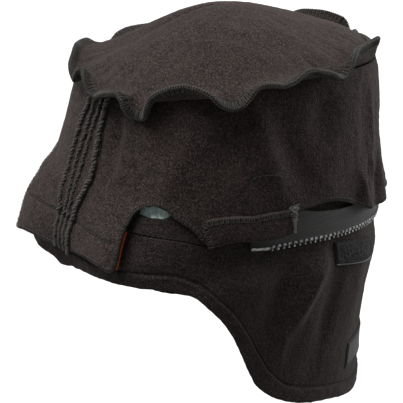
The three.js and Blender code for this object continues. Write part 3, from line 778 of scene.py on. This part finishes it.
# Turned flaps: behind each temple the wall's edge is folded up on the outside, with a soft round fold
# below and its overlocked cut edge above. A bar tack holds the rear end.
flap_top = curve([
    (50.7, -95.1), (52.2, -93), (53.9, -92.2), (58, -91.9), (64.4, -92.8), (70.4, -94.1), (75.2, -94.1),
    (80.2, -94.6), (86.5, -95.2),
])
flap_bottom = curve([
    (52, -108.6), (54.5, -107.9), (57.5, -107.2), (62, -107), (68, -108.4), (73, -109.8), (80, -110.4),
    (86.5, -109.6),
])
flap_front = curve([
    (-109, 53.6), (-105.5, 53.1), (-102, 52.6), (-99.5, 52.1), (-96.8, 51.6), (-94.6, 51.3),
    (-92.5, 52.1),
])
flap_start, flap_end = 52.2, 86.4
fold_radius = fleece / 2 + sewn_gap / 2 + 0.9


def flap_outer(at, z):
    bulge = 0.5 * np.sin(np.pi * np.clip((z - flap_bottom(from_front(at))) / 13, 0, 1))
    return wall_outer(at, z) + sewn_gap + fleece + bulge


def flap_section(share, side):
    """One column of a flap. share is its place from the front end to the rear one."""
    middle_angle = flap_start + (flap_end - flap_start) * share
    low = float(flap_bottom(middle_angle)) + fold_radius
    heights = np.linspace(float(flap_top(middle_angle)), low, 22)
    angles = side * (flap_front(heights) + (flap_end - flap_front(heights)) * share)
    at = angles[-1]
    turns = np.radians(np.linspace(0, 180, 13))[1:-1]
    middle = wall_outer(at, low) + sewn_gap + fleece - fold_radius
    inner_radius = fold_radius - fleece
    roll = place(at, middle + fold_radius * np.cos(turns), low - fold_radius * np.sin(turns))
    leg_heights = np.linspace(low, low + 2.4, 4)
    leg_out = place(at, middle - fold_radius, leg_heights)
    leg_in = place(at, middle - inner_radius, leg_heights)
    under = place(at, middle + inner_radius * np.cos(turns), low - inner_radius * np.sin(turns))
    back = place(angles, wall_outer(angles, heights) + sewn_gap, heights)
    outside = np.concatenate([place(angles, flap_outer(angles, heights), heights), roll, leg_out])
    inside = np.concatenate([leg_in[::-1], under[::-1], back[::-1]])
    return np.concatenate([outside, inside])


def turned_flap(side, name, node_name):
    shares = np.linspace(0, 1, 70)
    if side < 0:
        shares = shares[::-1]
    flap = cloth(name, [flap_section(share, side) for share in shares], False, outer_fleece)
    roughen(flap, 0.3, 3.0)
    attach(flap, "root")
    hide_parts(node_name)
    return flap


left_flap = turned_flap(1, "turned_flap_left_cloth", "turned_flap_left")
right_flap = turned_flap(-1, "turned_flap_right_cloth", "turned_flap_right")
flap_stitch = (3.0, 0.2, 0.34, 0.16)
flap_stitch_depth = 2.2
flap_bulge = 0.25


def flap_edge(side):
    """The cut edge of a turned flap: up its front end, round the corner and back along its top."""
    up_heights = np.linspace(-107, -94.4, 65)
    along_angles = np.arange(flap_start + 0.2, flap_end, 0.1)
    angles = np.concatenate([flap_front(up_heights) + 0.3, along_angles])
    heights = np.concatenate([up_heights, flap_top(along_angles) - 0.4])
    for _ in range(30):
        angles[1:-1] = eased(angles)
        heights[1:-1] = eased(heights)
    angles = side * angles
    line = place(angles, wall_outer(angles, heights) + sewn_gap + fleece / 2, heights)
    out = surface_normal(wall_outer, angles, heights)
    half = fleece / 2 + flap_bulge
    return overlock(line, out, half, flap_stitch_depth, flap_stitch, interior=-side)


flap_overlock = thread_piece("flap_overlock", flap_edge(1) + flap_edge(-1), edge_thread)

# Bar tacks: a bunched, frayed bundle of pale polyester thread, sewn to and fro through the rear end of
# each turned flap to hold it up on the wall.
bar_tack_threads = []
pale_thread = thread_finish("pale_thread", (0.016, 0.0158, 0.0145), (0.2, 0.196, 0.18))
tack_place = np.linspace(0, 1, 300)
tack_angle = 85.6
tack_rise = 0.7
tack_radius = 0.24

# Each strand's reach to either side in degrees, and the heights of its two ends.
tack_strands = [
    (1.4, -92.4, -95.5), (1.0, -93.5, -98), (0.7, -96, -101.5), (0.45, -99.5, -104.5),
    (0.35, -99.5, -103.5), (0.25, -103, -108),
]
for side in (1, -1):
    for strand, (reach, top, bottom) in enumerate(tack_strands):
        zigzag = np.sin(41 * tack_place + 2 * strand)
        angles = tack_angle + reach * zigzag + 0.7 * reach * np.sin(17 * tack_place)
        heights = top + (bottom - top) * tack_place + 0.5 * np.sin(47 * tack_place)
        on_flap = wall_outer(side * angles, heights) + sewn_gap + fleece
        out = on_flap + tack_rise + 0.4 * np.sin(37 * tack_place)
        bar_tack_threads.append(thread(place(side * angles, out, heights), tack_radius, 4))
bar_tacks = thread_piece("bar_tacks", bar_tack_threads, pale_thread)

# Tab outline: three sides of lockstitch above each turned flap, round at the corners. The dark polyester
# thread is sewn through the wall and stands on its pile.
tab_corners = [
    (67.4, -91.5), (67.9, -80), (68.3, -75), (70.2, -73.2), (74.6, -73), (79.2, -73.6), (80.9, -76.4),
    (81.3, -83), (81.6, -93.5),
]
tab_line = np.array([
    [np.interp(step, range(len(tab_corners)), column) for column in zip(*tab_corners)]
    for step in np.linspace(0, len(tab_corners) - 1, 240)
])
for _ in range(12):
    tab_line[1:-1] = eased(tab_line)
tab_rows = [row_on(wall_outer, side * tab_line[:, 0], tab_line[:, 1]) for side in (1, -1)]
thread_piece("tab_outline_stitches", [lockstitch(*row, rise=0.95) for row in tab_rows], seam_thread)

# Inner band: the layer inside the wall that carries the cape. It shows in the notches, where its upper
# edge sags behind the left one, and a row of stitches joins it to the cape.
inner_inset = curve([(0, 5.4), (22, 5.4), (32, 3.4), (45, 2.9), (56, 3.6), (66, 5.0), (180, 5.0)])
band_seam = curve([
    (0, -103), (26, -102.6), (36, -103.3), (45, -104.8), (53, -108), (70, -109), (180, -109),
])
band_top = -82
band_dip = curve([(26, 0), (30.5, 11.4), (38, 12), (47, 0)])
# A darker copy of the outer fleece: painted shade for the inner band and the cape, which hang in the shade
# under the wall.
inner_fleece = fleece_cloth(
    "inner_fleece", (0.0093, 0.0073, 0.0068), (0.0224, 0.0172, 0.0161), (0.0083, 0.0077, 0.0067),
)


def band_outer(at, z):
    return plan(at, z) - inner_inset(from_front(at))


def band_section(at):
    top = band_top - (float(band_dip(from_front(at))) if turned(at) > 0 else 0)
    return hanging(at, band_outer, top, float(band_seam(from_front(at))), fleece, -104, (12, 4, 4), 12)


band_columns = ring_angles(1.5, (25, 55, 0.5))
band = cloth("inner_band_cloth", [band_section(at) for at in band_columns], True, inner_fleece)
roughen(band, 0.4, 3.2)
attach(band, "root")
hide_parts("inner_band")

band_stitch_angles = np.arange(-180, 180.1, 0.5)
band_stitch_heights = band_seam(from_front(band_stitch_angles)) + 0.9
band_row = row_on(band_outer, band_stitch_angles, band_stitch_heights)
band_stitches = thread_piece("band_stitches", [lockstitch(*band_row, rise=0.15)], seam_thread)

# Cape: one ring of fleece that covers the ears and the neck, narrow at the brow and deep at the nape. It
# swings free below the zipper, falls in soft folds, and ends in a wide turned hem.
hem_roll = 2.0
far_flare_share = 0.85
near_flare_share = 0.2
cape_flare_top = -106
cape_flare_full = -126
swing_depth = 20
folds_under_wall = 0.25
cape_stitch_height = curve([
    (0, -129), (12, -127), (22, -124.8), (32, -123.6), (41, -123.4), (46, -126), (50, -129.5),
    (56.5, -139), (63, -152.5), (68.5, -168), (73, -182), (79, -197), (90, -211.5), (105, -220),
    (120, -227.5), (142, -237), (180, -241),
])
cape_edge_height = curve([
    (0, -138.3), (3, -137.4), (9, -135.9), (15, -135), (22, -134.3), (29.5, -132.6), (36, -132.8),
    (41, -133), (46, -135.2), (50, -138.6), (56.5, -150.5), (63, -170.5), (68.5, -192), (73, -204.5),
    (79, -213), (90, -223), (105, -231), (120, -238), (142, -247.5), (180, -251),
])
far_edge_sag = curve([
    (-48, 0), (-34, 3.5), (-20, 6), (-12, 5.4), (-9, 6.6), (-6, 5.6), (-2, 2.4), (8, 0.8), (24, 0),
])
swing_height = curve([
    (0, -136), (40, -134), (56, -122), (64, -117), (77, -118.3), (90, -120.2), (110, -123),
    (130, -126.6), (142, -129.5), (180, -131),
])
right_flap_rise = curve([(-150, 0), (-108, 11), (-70, 11), (-50, 0)])
cape_folds = [
    (97, -148, 32, 34, 6.5, 3.8), (92.5, -144, 30, 30, 2.2, 0.9), (80, -150, 22, 32, 10, -3.2),
    (110, -160, 12, 38, 8, -2.4), (52, -119, -70, 16, 6, -1.6), (38, -113, -62, 10, 4, -1.2),
    (-90, -158, -12, 42, 9, 3.0), (84.5, -178, 4, 16, 2.5, 0.7), (128, -165, 4, 46, 10, 1.6),
    (160, -170, 0, 44, 12, -1.6), (-130, -170, -6, 44, 10, -1.8),
]


def cape_stitch(at):
    return cape_stitch_height(from_front(at)) + right_flap_rise(turned(at))


def cape_outer(at, z):
    free = smooth_step(swing_height(from_front(at)) - z, 0, swing_depth)
    share = np.where(turned(at) < 0, far_flare_share, near_flare_share)
    flare = share * brow_flare(turned(at)) * smooth_step(-z, -cape_flare_top, -cape_flare_full)
    stitch = cape_stitch(at)
    hem = (hem_thickness - fleece) / 2 * smooth_step(stitch - z, 0, hem_roll) + 1.3 * groove(z - stitch)
    folds = folds_at(cape_folds, at, z) * np.maximum(free, folds_under_wall)
    return plan(at, z) - inner_inset(from_front(at)) * (1 - free) + flare + folds + hem


def cape_section(at):
    top = float(band_seam(from_front(at))) - sewn_gap
    bottom = cape_edge_height(from_front(at)) + right_flap_rise(turned(at)) - far_edge_sag(turned(at))
    return hanging(at, cape_outer, top, float(bottom), hem_thickness, float(cape_stitch(at)), (48, 9, 12), 26)


cape_columns = ring_angles(0.9, (44, 76, 0.5))
cape = cloth("ear_neck_cape_cloth", [cape_section(at) for at in cape_columns], True, inner_fleece)
roughen(cape, 0.9, 26)
roughen(cape, 0.3, 3.4)
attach(cape, "root")
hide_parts("ear_neck_cape")

cape_stitch_angles = np.arange(-180, 180.1, 0.4)
cape_row = row_on(cape_outer, cape_stitch_angles, cape_stitch(cape_stitch_angles))
cape_stitches = thread_piece("cape_hem_stitches", [lockstitch(*cape_row)], seam_thread)

# Zipper half: a woven satin tape round the back from temple to temple, sewn on below the wall's edge, with
# metal teeth clamped one by one on the cord along its lower edge.
tape_start = 68.2
teeth_start = 77.8
tape_thickness = 1.0
tape_slack = 0.2
tape_above_teeth = 0.9
tape_bulge, tape_bulge_height = 0.45, 1.1
tooth_pitch = 3.8
tape_top = curve([
    (64, -100), (77, -99), (86, -97.8), (91.5, -98.6), (95, -100.2), (98.8, -101.9), (107.3, -104.6),
    (116.7, -107), (125, -108.2), (142, -110), (180, -110.4),
])
teeth_height = curve([
    (64, -113.2), (68.1, -114.1), (73.1, -115.4), (78.1, -116.4), (85, -117.1), (92, -117.9),
    (98, -118.8), (104, -119.9), (110, -121), (116, -122.2), (122, -123.3), (130, -125), (142, -127.2),
    (160, -128.6), (180, -128.6),
])


def tape_outer(at, z):
    return plan(at, z) - fleece - sewn_gap - tape_slack


def woven_tape(name, colour, painted_sheen_colour, thread_count, streak):
    """Woven ribbon in a fine herringbone, on the piece's own UV map in millimetres, with a painted satin
    sheen: a lighter colour in soft streaks. A small streak value draws the painted sheen streaks out along
    its length."""
    material, tree, shader = new_material(name)
    cloth_map = tree.nodes.new("ShaderNodeUVMap")
    cloth_map.uv_map = "weave"
    weave = cloth_map.outputs["UV"]
    bands = node(tree, "ShaderNodeTexWave", Vector=weave, Scale=thread_count, Distortion=0.6, Detail=1)
    bands.bands_direction = "DIAGONAL"
    drawn_out = node(tree, "ShaderNodeMapping", Vector=weave, Scale=(streak, 0.6, 1)).outputs["Vector"]
    speckle = node(tree, "ShaderNodeTexNoise", Vector=drawn_out, Scale=thread_count * 0.7, Detail=3)
    # The lighter colour is painted sheen, standing in for the satin's reflections.
    base = blend_colours(tree, speckle, 0.3, 0.7, colour, painted_sheen_colour)
    bump = node(tree, "ShaderNodeBump", Strength=0.35, Distance=0.0002, Height=bands.outputs["Fac"])
    set_inputs(
        shader, Base_Color=base, Normal=bump.outputs["Normal"], Roughness=0.62, Specular_IOR_Level=0.14,
    )
    return material


def map_weave(made):
    """UV map of a piece that goes round the liner: distance round and height, in millimetres."""
    middle_radius = 95
    weave_map = made.data.uv_layers.new(name="weave")
    for loop in made.data.loops:
        spot = made.data.vertices[loop.vertex_index].co / metres
        weave_map.data[loop.index].uv = (math.atan2(-spot.x, spot.y) * middle_radius, spot.z)


tape_cloth = woven_tape("zipper_tape", (0.004, 0.0043, 0.004), (0.0185, 0.019, 0.0172), 2.4, 0.03)
tape_angles = np.linspace(tape_start, 360 - tape_start, 210)


def tape_section(at):
    away = from_front(at)
    heights = np.linspace(tape_top(away), teeth_height(away) + tape_above_teeth, 20)
    bulge = tape_bulge * np.exp(-(((heights - heights[-1]) / tape_bulge_height) ** 2))
    surface = tape_outer(at, heights)
    return layer_section(at, surface + bulge, surface - tape_thickness - bulge, heights)


tape = cloth("zipper_tape_cloth", [tape_section(at) for at in tape_angles], False, tape_cloth)
map_weave(tape)
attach(tape, "root")
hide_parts("zipper_tape")

cord_radius = 0.95
cord_above_teeth = 0.7
cord_stands_out = 0.25
cord_angles = np.linspace(tape_start + 0.3, 359.7 - tape_start, 500)
cord_heights = teeth_height(from_front(cord_angles)) + cord_above_teeth
cord_out = tape_outer(cord_angles, cord_heights) - tape_thickness / 2 + cord_stands_out
cord_thread = thread(place(cord_angles, cord_out, cord_heights), cord_radius, 8)
tape_cord = thread_piece("zipper_tape_cord", [cord_thread], seam_thread)

tooth_thickness = 2.9
clamp_width, clamp_height = 2.0, 1.4
neck_width, neck_height = 0.75, 1.0
shoulder_height = 0.1
head_width, head_height, head_depth_share = 1.3, 0.9, 1.25
tooth_rounding = 0.16
clamp_above_line = 1.2


def zipper_metal(name, tarnished, bare):
    """Dull silver metal, mottled by tarnish."""
    material, tree, shader = new_material(name)
    spot = tree.nodes.new("ShaderNodeTexCoord").outputs["Object"]
    tarnish = node(tree, "ShaderNodeTexNoise", Vector=spot, Scale=520, Detail=3)
    colour = blend_colours(tree, tarnish, 0.38, 0.66, tarnished, bare)
    set_inputs(shader, Base_Color=colour, Metallic=0.7, Roughness=0.42)
    return material


tooth_metal = zipper_metal("zipper_metal", (0.035, 0.036, 0.035), (0.26, 0.264, 0.256))

bpy.ops.mesh.primitive_cube_add(size=1)
tooth = bpy.context.object
tooth.scale = (clamp_width, tooth_thickness, clamp_height)
bpy.ops.object.transform_apply(scale=True)
bpy.ops.object.mode_set(mode="EDIT")


def select_foot():
    """Selects only the lowest face of the tooth that is being edited."""
    bpy.ops.mesh.select_all(action="DESELECT")
    faces = bmesh.from_edit_mesh(tooth.data).faces
    min(faces, key=lambda face: face.calc_center_median().z).select_set(True)
    bmesh.update_edit_mesh(tooth.data)


def draw_down(length):
    bpy.ops.mesh.extrude_region_move(TRANSFORM_OT_translate={"value": (0, 0, -length)})


select_foot()
bpy.ops.mesh.inset(thickness=(clamp_width - neck_width) / 2, depth=0)
draw_down(neck_height)
select_foot()
draw_down(shoulder_height)
bpy.ops.transform.resize(value=(head_width / neck_width, head_depth_share, 1))
draw_down(head_height)
bpy.ops.object.mode_set(mode="OBJECT")
rounding = tooth.modifiers.new("rounding", "BEVEL")
rounding.width = tooth_rounding
rounding.segments = 1
bpy.ops.object.modifier_apply(modifier=rounding.name)

clamp_angles = np.linspace(teeth_start, 360 - teeth_start, 400)
clamp_heights = teeth_height(from_front(clamp_angles)) + clamp_above_line
clamp_line = place(clamp_angles, tape_outer(clamp_angles, clamp_heights), clamp_heights)
teeth_length, read_teeth = line_reader(clamp_line)
teeth_mesh = bmesh.new()
for distance in np.arange(0, teeth_length, tooth_pitch):
    spot, further = read_teeth(np.array([distance, distance + 1.0]))[0]
    ahead = unit(further - spot)
    outward = unit(spot * (1, 1, 0))
    outward = unit(outward - ahead * (outward @ ahead))
    upward = np.cross(ahead, -outward)
    spot = spot - outward * tape_thickness / 2
    turn = Matrix((ahead, -outward, upward)).transposed().to_4x4()
    copy = tooth.data.copy()
    copy.transform(Matrix.Translation(Vector(spot * metres)) @ turn @ Matrix.Scale(metres, 4))
    teeth_mesh.from_mesh(copy)
    bpy.data.meshes.remove(copy)
bpy.data.objects.remove(tooth)
teeth_data = bpy.data.meshes.new("zipper_teeth_row")
teeth_mesh.to_mesh(teeth_data)
teeth_mesh.free()
teeth_data.materials.append(tooth_metal)
teeth = bpy.data.objects.new("zipper_teeth_row", teeth_data)
bpy.context.scene.collection.objects.link(teeth)
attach(teeth, "root")
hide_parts("zipper_teeth")

# Insertion pin: a smooth metal rod on the tape's left end, in front of the teeth. It is clamped on the
# cord and has a crimped collar near either end.
pin_from = 68.6
pin_to = 76.6
pin_stands_out = 0.9
pin_half_height, pin_half_depth = 1.3, 1.1
pin_tip_share = 0.35
pin_collars = [(0.12, 0.25, 0.05), (0.8, 0.2, 0.06)]
pin_metal = zipper_metal("pin_metal", (0.2, 0.203, 0.198), (0.72, 0.725, 0.71))
pin_sections = []
for at in np.linspace(pin_from, pin_to, 40):
    share = (at - pin_from) / (pin_to - pin_from)
    end = math.sqrt(max(0.0, 1 - (2 * share - 1) ** 16))
    taper = pin_tip_share + (1 - pin_tip_share) * end
    collar = sum(swell * math.exp(-(((share - where) / long) ** 2)) for where, swell, long in pin_collars)
    tall = (pin_half_height + collar) * taper
    deep = (pin_half_depth + collar) * taper
    turns = np.linspace(0, 2 * np.pi, 16, endpoint=False) + np.pi / 2
    middle = tape_outer(at, float(teeth_height(at))) - tape_thickness / 2 + pin_stands_out
    pin_heights = teeth_height(at) + tall * np.sin(turns)
    pin_sections.append(place(at, middle - deep * np.cos(turns + np.pi / 2), pin_heights))
pin = cloth("zipper_pin_rod", pin_sections, False, pin_metal)
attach(pin, "root")
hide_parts("zipper_pin")

# Small cloth pieces sewn flat on the cape: a patch of looped fabric with a welt along its foot, and a
# plain label by the centre back. Both are held by a row of stitches round the edge.
end_steepness, edge_steepness, edge_share = 20, 8, 0.45
mm_per_degree = 1.6
patch_stitch_length = 2.2

# Angles of both ends, heights of the upper and the lower edge, and how far the far end sinks.
patch_place = ((111.5, 137.7), -126.5, -139.8, -10.5)
label_place = ((128.5, 159), -204, -222.5, -3.5)


def sewn_on(name, span, top, bottom, sink, thickness, material):
    """A flat piece on the cape, with its edges pulled down by its stitching."""
    start, end = span
    sections = []
    for at in np.linspace(start, end, 60):
        along = (at - start) / (end - start)
        share = np.linspace(0, 1, 24)
        heights = top + sink * along + (bottom - top) * share
        near_end = np.minimum(along, 1 - along) * end_steepness
        near_edge = np.minimum(share, 1 - share) * edge_steepness
        full = smooth_step(np.minimum(near_end, near_edge), 0, 1)
        swell = thickness * (edge_share + (1 - edge_share) * full)
        on_cape = cape_outer(at, heights)
        sections.append(layer_section(at, on_cape + sewn_gap + swell, on_cape - sunk_in, heights))
    return cloth(name, sections, False, material)


def patch_row(span, top, bottom, sink, inset, rise):
    """Stitches round the edge of a sewn-on piece."""
    start, end = span[0] + inset / mm_per_degree, span[1] - inset / mm_per_degree
    corners = [(start, top - inset), (end, top - inset), (end, bottom + inset), (start, bottom + inset)]
    angles, heights = [], []
    for (a0, z0), (a1, z1) in zip(corners, corners[1:] + corners[:1]):
        angles.append(np.linspace(a0, a1, 40, endpoint=False))
        heights.append(np.linspace(z0, z1, 40, endpoint=False))
    angles = np.concatenate(angles)
    heights = np.concatenate(heights) + sink * (angles - span[0]) / (span[1] - span[0])
    line, out = row_on(cape_outer, angles, heights)
    return lockstitch(line + out * rise, out, length=patch_stitch_length)


looped = fleece_cloth(
    "loop_fabric", (0.0045, 0.0046, 0.0047), (0.0185, 0.0185, 0.019), (0.0038, 0.0038, 0.004),
)
patch = sewn_on("loop_patch_cloth", *patch_place, 1.2, looped)
roughen(patch, 0.5, 1.3)
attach(patch, "root")
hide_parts("loop_patch")

label_cloth = woven_tape("label_cloth", (0.0075, 0.009, 0.0098), (0.0135, 0.0156, 0.0168), 3.0, 1.0)
label = sewn_on("nape_label_cloth", *label_place, 1.0, label_cloth)
map_weave(label)
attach(label, "root")
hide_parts("nape_label")

patch_rows = [patch_row(*patch_place, 1.2, 1.5), patch_row(*label_place, 1.0, 1.3)]
patch_stitches = thread_piece("patch_stitches", patch_rows, seam_thread)

welt_drop, welt_rise, welt_radius = 0.3, 0.9, 0.5
(welt_start, welt_end), _, patch_bottom, patch_sink = patch_place
welt_angles = np.linspace(welt_start, welt_end, 120)
welt_shares = (welt_angles - welt_start) / (welt_end - welt_start)
welt_heights = patch_bottom + patch_sink * welt_shares - welt_drop
welt_line, welt_out = row_on(cape_outer, welt_angles, welt_heights)
welt_thread = thread(welt_line + welt_rise * welt_out, welt_radius, 6)
welt_paint = thread_finish("welt_binding", (0.035, 0.036, 0.035), (0.09, 0.092, 0.09))
patch_welt = thread_piece("loop_patch_welt", [welt_thread], welt_paint)

# Edge tab: a short length of woven orange ribbon, folded and sewn behind the brow flap's edge, so that it
# shows past the edge in the left notch.
tab_top, tab_bottom, tab_width, tab_thickness = -101.5, -121.5, 3.6, 1.0
tab_edge = curve([(-122, 26.5), (-117, 27.0), (-110, 27.4), (-102, 27.8), (-98, 28)])
ribbon = woven_tape("orange_ribbon", (0.4, 0.06, 0.016), (0.7, 0.14, 0.04), 3.0, 0.5)
tab_sections = []
for share in np.linspace(0, 1, 14):
    heights = np.linspace(tab_top, tab_bottom, 40)
    angles = tab_edge(heights) - tab_width * (1 - share)
    outside = wall_outer(angles, heights) - hem_thickness - 2 * sewn_gap
    tab_sections.append(layer_section(angles, outside, outside - tab_thickness, heights))
tab = cloth("edge_tab_ribbon", tab_sections, False, ribbon)
map_weave(tab)
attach(tab, "root")
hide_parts("edge_tab")

# Lining: smooth woven cloth in a mint colour, which lies creased inside the inner band and shows above the
# band's sagging edge.
lining_from, lining_to, lining_top, lining_bottom = 29.5, 48, -79, -101
lining_thickness, lining_slack, crease_depth = 0.6, 0.4, 0.45
# The mint's second, near-white colour is a painted sheen.
mint = woven_tape("mint_lining", (0.36, 0.52, 0.49), (0.8, 0.95, 0.9), 0.9, 1.0)
lining_sections = []
for at in np.linspace(lining_from, lining_to, 50):
    heights = np.linspace(lining_top, lining_bottom, 40)
    crease = crease_depth * np.sin(at * 1.9 + heights * 0.32) * np.sin(heights * 0.9 + at * 0.4)
    outside = band_outer(at, heights) - fleece - sewn_gap - lining_slack + crease
    lining_sections.append(layer_section(at, outside, outside - lining_thickness, heights))
lining = cloth("lining_strip_cloth", lining_sections, False, mint)
map_weave(lining)
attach(lining, "root")
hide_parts("lining_strip")

# Studio: a plain pale floor well below the liner, a wide soft light from above and to the left of the
# camera, two weak ones from either side that catch the pile at the edges, and pale surroundings.
floor_height = -0.40
floor_size = 12
bpy.ops.mesh.primitive_plane_add(size=floor_size, location=(0, 0, floor_height))
floor = bpy.context.object
floor.name = "floor"
floor_paint, _, floor_shader = new_material("floor_paint")
set_inputs(floor_shader, Base_Color=(0.62, 0.62, 0.62, 1), Roughness=0.8)
floor.data.materials.append(floor_paint)
floor.visible_diffuse = False


def soft_light(name, turn, rise, spread, strength):
    """Even light from one side of the studio, as from a very large and distant softbox."""
    data = bpy.data.lights.new(name, "SUN")
    data.angle = math.radians(spread)
    data.energy = strength
    light = bpy.data.objects.new(name, data)
    light.rotation_euler = (-direction(turn, rise)).to_track_quat("-Z", "Y").to_euler()
    bpy.context.scene.collection.objects.link(light)


soft_light("key_light", -10, 70, 44, 4.85)
soft_light("left_light", -76, 18, 44, 1.5)
soft_light("right_light", 178, 14, 40, 3.0)
surroundings = bpy.data.worlds.new("surroundings")
surroundings.use_nodes = True
set_inputs(surroundings.node_tree.nodes["Background"], Color=(1, 1, 1, 1), Strength=0.2)
bpy.context.scene.world = surroundings
bpy.context.scene.view_settings.view_transform = "Standard"
